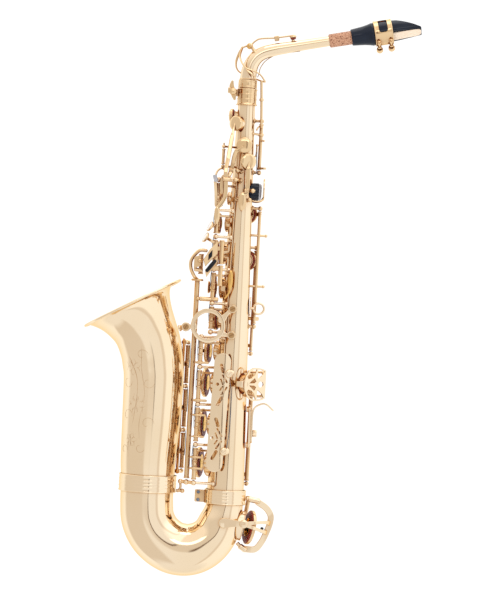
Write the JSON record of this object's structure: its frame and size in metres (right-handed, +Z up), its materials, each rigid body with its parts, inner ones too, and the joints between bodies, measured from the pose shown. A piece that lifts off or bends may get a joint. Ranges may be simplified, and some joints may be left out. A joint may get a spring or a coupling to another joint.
{
  "type": "alto saxophone",
  "caption": "Alto saxophone: conical brass body with flared bell, curved bow and neck, mouthpiece with reed, padded keys on hinge tubes, guards, thumb hook and strap ring.",
  "frame": {"origin": "centre of the strap ring on the back of the body tube", "axes": "+Z up along the body tube, -X towards the bell, +X towards the player, -Y on the player's left"},
  "size_m": [0.3762, 0.1255, 0.6635],
  "materials": {
    "brass": "clear lacquered, polished",
    "pad_leather": "smooth dark red kid leather over felt",
    "ebonite": "polished black hard rubber",
    "cork": "fine pressed cork",
    "cane": "pale dry cane"
  },
  "bodies": {
    "body": {"body_tube": "brass", "bow": "brass", "bell": "brass", "body_bow_ring": "brass", "bell_bow_ring": "brass", "neck_receiver": "brass", "bell_brace": "brass", "side_guard": "brass", "eb_guard": "brass", "low_c_guard": "brass", "bell_key_guard": "brass", "thumb_hook_plate": "brass", "thumb_rest": "ebonite", "strap_ring": "brass", "upper_stack_rib": "brass", "lower_stack_rib": "brass", "bell_key_rib": "brass"},
    "neck": {"neck_tube": "brass", "neck_cork": "cork"},
    "neck_octave_key": {"neck_octave_key": "brass"},
    "mouthpiece": {"mouthpiece": "ebonite", "reed": "cane", "ligature": "brass"},
    "ligature_screw_1": {"ligature_screw_1": "brass"},
    "ligature_screw_2": {"ligature_screw_2": "brass"},
    "neck_screw": {"neck_screw": "brass"},
    "octave_lever": {"octave_lever": "brass"},
    "octave_rod": {"octave_rod": "brass"},
    "palm_f_key": {"palm_f_key": "brass"},
    "palm_eb_key": {"palm_eb_key": "brass"},
    "palm_d_key": {"palm_d_key": "brass"},
    "side_e_key": {"side_e_key": "brass"},
    "side_c_key": {"side_c_key": "brass"},
    "side_bb_key": {"side_bb_key": "brass"},
    "b_key": {"b_key": "brass"},
    "bis_key": {"bis_key": "brass"},
    "a_key": {"a_key": "brass"},
    "g_key": {"g_key": "brass"},
    "g_sharp_key": {"g_sharp_key": "brass"},
    "f_sharp_key": {"f_sharp_key": "brass", "f_sharp_pad": "pad_leather"},
    "f_key": {"f_key": "brass", "f_pad": "pad_leather"},
    "e_key": {"e_key": "brass", "e_pad": "pad_leather"},
    "d_key": {"d_key": "brass", "d_pad": "pad_leather"},
    "low_c_key": {"low_c_key": "brass", "low_c_pad": "pad_leather"},
    "low_eb_key": {"low_eb_key": "brass"},
    "low_bb_key": {"low_bb_key": "brass"},
    "low_b_key": {"low_b_key": "brass"},
    "low_c_sharp_key": {"low_c_sharp_key": "brass"},
    "g_sharp_lever": {"g_sharp_lever": "brass"},
    "low_b_lever": {"low_b_lever": "brass"},
    "low_c_sharp_lever": {"low_c_sharp_lever": "brass"},
    "low_bb_lever": {"low_bb_lever": "brass"},
    "thumb_hook": {"thumb_hook": "brass"}
  },
  "joints": [
    {"name": "neck_swivel", "type": "hinge", "parent": "body", "child": "neck", "pos_m": [-0.0272, 0, 0.25], "axis": [0, 0, 1], "range_deg": [-25, 25]},
    {"name": "neck_octave_key_turn", "type": "hinge", "parent": "neck", "child": "neck_octave_key", "pos_m": [-0.026, 0, 0.3068], "axis": [0, -1, 0], "range_deg": [0, 4]},
    {"name": "mouthpiece_slide", "type": "slide", "parent": "neck", "child": "mouthpiece", "axis": [0.9781, 0, 0.2079], "range_m": [-0.006, 0.006]},
    {"name": "ligature_screw_1_turn", "type": "hinge", "parent": "mouthpiece", "child": "ligature_screw_1", "pos_m": [0.12391, -0.00865, 0.31505], "axis": [0.1071, 0.8572, -0.5038], "continuous": true},
    {"name": "ligature_screw_2_turn", "type": "hinge", "parent": "mouthpiece", "child": "ligature_screw_2", "pos_m": [0.13761, -0.00865, 0.31796], "axis": [0.1071, 0.8572, -0.5038], "continuous": true},
    {"name": "neck_screw_turn", "type": "hinge", "parent": "body", "child": "neck_screw", "pos_m": [-0.0437, 0, 0.251], "axis": [0, 1, 0], "range_deg": [0, 75]},
    {"name": "octave_lever_turn", "type": "hinge", "parent": "body", "child": "octave_lever", "pos_m": [-0.0177, 0, 0.126], "axis": [0, -1, 0], "range_deg": [0, 4], "stiffness_Nm_per_rad": 0.05, "springref_deg": -5.73},
    {"name": "octave_rod_turn", "type": "hinge", "parent": "body", "child": "octave_rod", "pos_m": [-0.0085, 0, 0.19], "axis": [0, 0, 1], "range_deg": [0, 4]},
    {"name": "palm_f_key_turn", "type": "hinge", "parent": "body", "child": "palm_f_key", "pos_m": [-0.0464, -0.0264, 0.148], "axis": [1, 0, 0], "range_deg": [0, 6], "stiffness_Nm_per_rad": 0.05, "springref_deg": -5.73},
    {"name": "palm_eb_key_turn", "type": "hinge", "parent": "body", "child": "palm_eb_key", "pos_m": [-0.0407, -0.017, 0.159], "axis": [1, 0, 0], "range_deg": [0, 5.5], "stiffness_Nm_per_rad": 0.05, "springref_deg": -5.73},
    {"name": "palm_d_key_turn", "type": "hinge", "parent": "body", "child": "palm_d_key", "pos_m": [-0.021, -0.0205, 0.1365], "axis": [1, 0, 0], "range_deg": [0, 6], "stiffness_Nm_per_rad": 0.05, "springref_deg": -5.73},
    {"name": "side_e_key_turn", "type": "hinge", "parent": "body", "child": "side_e_key", "pos_m": [-0.0357, 0.0215, 0.114], "axis": [0, 0, 1], "range_deg": [-8, 0], "stiffness_Nm_per_rad": 0.05, "springref_deg": 5.73},
    {"name": "side_c_key_turn", "type": "hinge", "parent": "body", "child": "side_c_key", "pos_m": [-0.0047, 0.0045, 0.048], "axis": [0, 0, 1], "range_deg": [-9, 0], "stiffness_Nm_per_rad": 0.05, "springref_deg": 5.73},
    {"name": "side_bb_key_turn", "type": "hinge", "parent": "body", "child": "side_bb_key", "pos_m": [-0.0067, 0.0155, 0.009], "axis": [0, 0, 1], "range_deg": [-10, 0], "stiffness_Nm_per_rad": 0.05, "springref_deg": 5.73},
    {"name": "b_key_turn", "type": "hinge", "parent": "body", "child": "b_key", "pos_m": [-0.0547, -0.017, 0.13], "axis": [0, 0, 1], "range_deg": [-14, 0], "stiffness_Nm_per_rad": 0.05, "springref_deg": 5.73},
    {"name": "bis_key_turn", "type": "hinge", "parent": "body", "child": "bis_key", "pos_m": [-0.0547, -0.017, 0.097], "axis": [0, 0, 1], "range_deg": [-14, 0]},
    {"name": "a_key_turn", "type": "hinge", "parent": "body", "child": "a_key", "pos_m": [-0.0547, -0.017, 0.062], "axis": [0, 0, 1], "range_deg": [-14, 0], "stiffness_Nm_per_rad": 0.05, "springref_deg": 5.73},
    {"name": "g_key_turn", "type": "hinge", "parent": "body", "child": "g_key", "pos_m": [-0.0547, -0.017, 0.023], "axis": [0, 0, 1], "range_deg": [-14, 0], "stiffness_Nm_per_rad": 0.05, "springref_deg": 5.73},
    {"name": "f_sharp_key_turn", "type": "hinge", "parent": "body", "child": "f_sharp_key", "pos_m": [-0.0647, -0.0215, -0.053], "axis": [0, 0, 1], "range_deg": [-14, 0]},
    {"name": "f_key_turn", "type": "hinge", "parent": "body", "child": "f_key", "pos_m": [-0.0647, -0.0215, -0.093], "axis": [0, 0, 1], "range_deg": [-14, 0], "stiffness_Nm_per_rad": 0.05, "springref_deg": 5.73},
    {"name": "e_key_turn", "type": "hinge", "parent": "body", "child": "e_key", "pos_m": [-0.0647, -0.0215, -0.138], "axis": [0, 0, 1], "range_deg": [-14, 0], "stiffness_Nm_per_rad": 0.05, "springref_deg": 5.73},
    {"name": "d_key_turn", "type": "hinge", "parent": "body", "child": "d_key", "pos_m": [-0.0647, -0.0215, -0.184], "axis": [0, 0, 1], "range_deg": [-14, 0], "stiffness_Nm_per_rad": 0.05, "springref_deg": 5.73},
    {"name": "g_sharp_lever_turn", "type": "hinge", "parent": "body", "child": "g_sharp_lever", "pos_m": [-0.0467, -0.033, 0.063], "axis": [0, 0, 1], "range_deg": [-8, 0], "stiffness_Nm_per_rad": 0.05, "springref_deg": 5.73},
    {"name": "g_sharp_key_turn", "type": "hinge", "parent": "body", "child": "g_sharp_key", "pos_m": [-0.0547, -0.017, -0.013], "axis": [0, 0, 1], "range_deg": [0, 14]},
    {"name": "low_b_lever_turn", "type": "hinge", "parent": "body", "child": "low_b_lever", "pos_m": [-0.0467, -0.033, 0.036], "axis": [0, 0, 1], "range_deg": [-8, 0], "stiffness_Nm_per_rad": 0.05, "springref_deg": 5.73},
    {"name": "low_b_key_turn", "type": "hinge", "parent": "body", "child": "low_b_key", "pos_m": [-0.0807, 0.027, -0.122], "axis": [0, 0, 1], "range_deg": [0, 10]},
    {"name": "low_bb_lever_turn", "type": "hinge", "parent": "body", "child": "low_bb_lever", "pos_m": [-0.0732, -0.014, -0.086], "axis": [0, 0, 1], "range_deg": [-8, 0], "stiffness_Nm_per_rad": 0.05, "springref_deg": 5.73},
    {"name": "low_bb_key_turn", "type": "hinge", "parent": "body", "child": "low_bb_key", "pos_m": [-0.0807, 0.027, -0.07], "axis": [0, 0, 1], "range_deg": [0, 10]},
    {"name": "low_c_sharp_lever_turn", "type": "hinge", "parent": "body", "child": "low_c_sharp_lever", "pos_m": [-0.0697, -0.024, 0.048], "axis": [0, 0, 1], "range_deg": [-8, 0], "stiffness_Nm_per_rad": 0.05, "springref_deg": 5.73},
    {"name": "low_c_sharp_key_turn", "type": "hinge", "parent": "body", "child": "low_c_sharp_key", "pos_m": [-0.0807, 0.027, -0.172], "axis": [0, 0, 1], "range_deg": [-10, 0]},
    {"name": "low_c_key_turn", "type": "hinge", "parent": "body", "child": "low_c_key", "pos_m": [-0.00413, 0.028, -0.25521], "axis": [0.1564, 0, 0.9877], "range_deg": [-11, 0], "stiffness_Nm_per_rad": 0.05, "springref_deg": 5.73},
    {"name": "low_eb_key_turn", "type": "hinge", "parent": "body", "child": "low_eb_key", "pos_m": [-0.0032, 0.017, -0.142], "axis": [0, 0, 1], "range_deg": [0, 8], "stiffness_Nm_per_rad": 0.05, "springref_deg": -5.73},
    {"name": "thumb_hook_slide", "type": "slide", "parent": "body", "child": "thumb_hook", "axis": [0, 0, 1], "range_m": [-0.006, 0.004]}
  ],
  "couplings": [
    {"joint": "octave_rod_turn", "follows": "octave_lever_turn", "ratio": 1},
    {"joint": "neck_octave_key_turn", "follows": "octave_lever_turn", "ratio": 1},
    {"joint": "bis_key_turn", "follows": "a_key_turn", "ratio": 1},
    {"joint": "f_sharp_key_turn", "follows": "f_key_turn", "ratio": 1},
    {"joint": "g_sharp_key_turn", "follows": "g_sharp_lever_turn", "ratio": -1.75},
    {"joint": "low_b_key_turn", "follows": "low_b_lever_turn", "ratio": -1.25},
    {"joint": "low_bb_key_turn", "follows": "low_bb_lever_turn", "ratio": -1.25},
    {"joint": "low_c_sharp_key_turn", "follows": "low_c_sharp_lever_turn", "ratio": 1.25}
  ]
}
